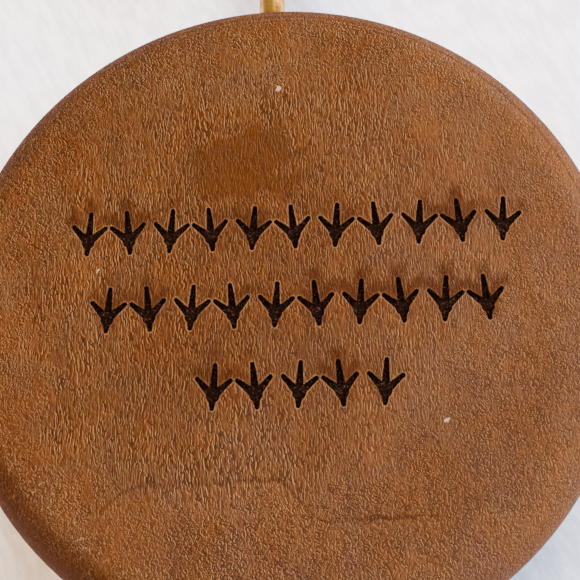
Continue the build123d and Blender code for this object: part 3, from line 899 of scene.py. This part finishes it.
def spring_pitch_share(share):
    """How far along the spring its wire has come, at a share of its turns. Ends lie closed."""
    end = dead_turns / spring_turns
    closed = spring_wire * dead_turns / (spring_high.y - spring_low.y - spring_wire)
    if share < end:
        return share / end * closed
    if share > 1 - end:
        return 1 - (1 - share) / end * closed
    return closed + (share - end) / (1 - 2 * end) * (1 - 2 * closed)


def make_spring(material):
    """The return spring: one smooth wire with closed ends, in place of the plain CAD coil."""
    radius = (spring_high.x - spring_low.x - spring_wire) / 2
    start = spring_low.y + spring_wire / 2
    run = spring_high.y - spring_low.y - spring_wire
    slope = run / spring_turns / tau / radius
    steps = round(spring_turns * steps_per_turn)
    vertices = []
    for step in range(steps + 1):
        share = step / steps
        angle = tau * spring_turns * share
        outward = Vector((cos(angle), 0, sin(angle)))
        centre = radius * outward + Vector((0, start + run * spring_pitch_share(share), rod_height))
        aside = outward.cross(Vector((-sin(angle), slope, cos(angle))).normalized())
        from_end = min(step, steps - step, len(ground_ends) - 1)
        thickness = spring_wire / 2 * ground_ends[from_end]
        for side in range(wire_sides):
            turn = tau * side / wire_sides
            vertices.append(centre + thickness * (cos(turn) * outward + sin(turn) * aside))
    faces = []
    for step in range(steps):
        first = step * wire_sides
        for side in range(wire_sides):
            a = first + side
            b = first + (side + 1) % wire_sides
            faces.append((a, b, b + wire_sides, a + wire_sides))
    last = steps * wire_sides
    faces.append(tuple(reversed(range(wire_sides))))
    faces.append(tuple(range(last, last + wire_sides)))
    mesh = bpy.data.meshes.new("coil_spring")
    mesh.from_pydata(vertices, [], faces)
    mesh.validate()
    mesh.polygons.foreach_set("use_smooth", [len(face) == 4 for face in faces])
    mesh.materials.append(material)
    spring = bpy.data.objects.new("coil_spring", mesh)
    bpy.context.scene.collection.objects.link(spring)
    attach(spring, "pot")
    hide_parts("return_spring")
    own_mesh(spring)


# ---- Studio ------------------------------------------------------------------------------------
floor_half = 1.5  # metres, half its width
floor_gap = 0.1 * MM  # below the call, so that the two never share a plane
panel_reach = 0.6  # from the middle of the call's underside
world_tint = (0.9, 0.93, 1.0)
world_strength = 0.35


def make_floor():
    """Pale matt paper with faint streaks."""
    half = floor_half
    corners = [(-half, -half, 0), (half, -half, 0), (half, half, 0), (-half, half, 0)]
    mesh = bpy.data.meshes.new("floor")
    mesh.from_pydata(corners, [], [(0, 1, 2, 3)])
    floor = bpy.data.objects.new("floor", mesh)
    bpy.context.scene.collection.objects.link(floor)
    floor.location.z = -floor_gap
    shader = Shader("pale_paper")
    laid = shader.scaled(shader.turned(shader.point, radians(-25)), (1.0, 0.25, 1.0))
    streaks = shader.noise(laid, 0.55, detail=5, roughness=0.65)
    tint = shader.mix(shader.spread(streaks, 0.38, 0.62), (0.76, 0.76, 0.76), (0.97, 0.97, 0.97))
    mesh.materials.append(shader.finish(tint, 0.75, shader.bump(streaks, 0.12), Specular_IOR_Level=0.2))
    return floor


def make_panel(name, azimuth, elevation, size, power, receivers):
    """A square light panel, aimed at the call, that lights only its receivers.

    azimuth runs clockwise from +Y, in degrees. power is in watts, for red, green and blue.
    """
    data = bpy.data.lights.new(name, "AREA")
    data.shape = "SQUARE"
    data.size = size
    data.energy = max(power)
    data.color = shade(power, 1 / max(power))
    panel = bpy.data.objects.new(name, data)
    bpy.context.scene.collection.objects.link(panel)
    away = Vector((0, cos(radians(elevation)), sin(radians(elevation))))
    away.rotate(Matrix.Rotation(radians(-azimuth), 3, "Z"))
    panel.location = panel_reach * away
    aim = Vector((0, 0, face_height)) - panel.location
    panel.rotation_mode = "QUATERNION"
    panel.rotation_quaternion = aim.to_track_quat("-Z", "Y")
    panel.visible_camera = False
    panel.light_linking.receiver_collection = receivers


def make_studio():
    """Three panels light the call. Three more light only the paper, for its warm and cool shadows."""
    floor = make_floor()
    paper_only = bpy.data.collections.new("paper_only")
    paper_only.objects.link(floor)
    all_but_paper = bpy.data.collections.new("all_but_paper")
    all_but_paper.objects.link(floor)
    all_but_paper.collection_objects[0].light_linking.link_state = "EXCLUDE"
    make_panel("key_left", -90, 62, 0.20, (1.95, 1.8, 1.6), all_but_paper)
    make_panel("soft_window", 50, 36, 0.35, (3.6, 2.8, 1.6), all_but_paper)
    make_panel("cool_side", 80, 25, 0.30, (4.6, 4.6, 4.7), all_but_paper)
    make_panel("paper_left", -60, 57, 0.20, (6.1, 3.7, 1.9), paper_only)
    make_panel("paper_right", 80, 33, 0.22, (4.6, 5.6, 8.4), paper_only)
    make_panel("paper_back", 12, 57, 0.30, (10.8, 10.1, 11.2), paper_only)
    world = bpy.data.worlds.new("studio")
    world.use_nodes = True
    background = world.node_tree.nodes["Background"]
    background.inputs["Color"].default_value = opaque(world_tint)
    background.inputs["Strength"].default_value = world_strength
    bpy.context.scene.world = world


# ---- The scene put together --------------------------------------------------------------------
def dress(material, *names):
    """Gives CAD nodes their material."""
    for name in names:
        nodes[name].data.materials.clear()
        nodes[name].data.materials.append(material)


turned_pieces = (
    "front_bushing",
    "rear_bushing",
    "stop_collar",
    "front_spring_washer",
    "rear_spring_washer",
)

make_camera()
make_studio()
dress(body_wood(), "call_body")
dress(cover_wood(), "sound_cover")
dress(knob_wood(), "push_button")
dress(rod_brass(), "push_rod")
dress(turned_brass(), *turned_pieces)
dress(screw_brass(), "cover_screws", "guide_block_screws", "leaf_spring_screws")
dress(bronze(), "leaf_spring")
dress(black_steel(), "collar_set_screw", "carriage_set_screw")
dress(maple(), "pedestal_ring", "rear_guide_block", "striker_carriage")
dress(hickory(), "striker_peg")
dress(slate(), "slate_plate")
dress(felt(), "felt_washer")
dress(rubber(), "button_bumper")
make_spring(spring_steel())
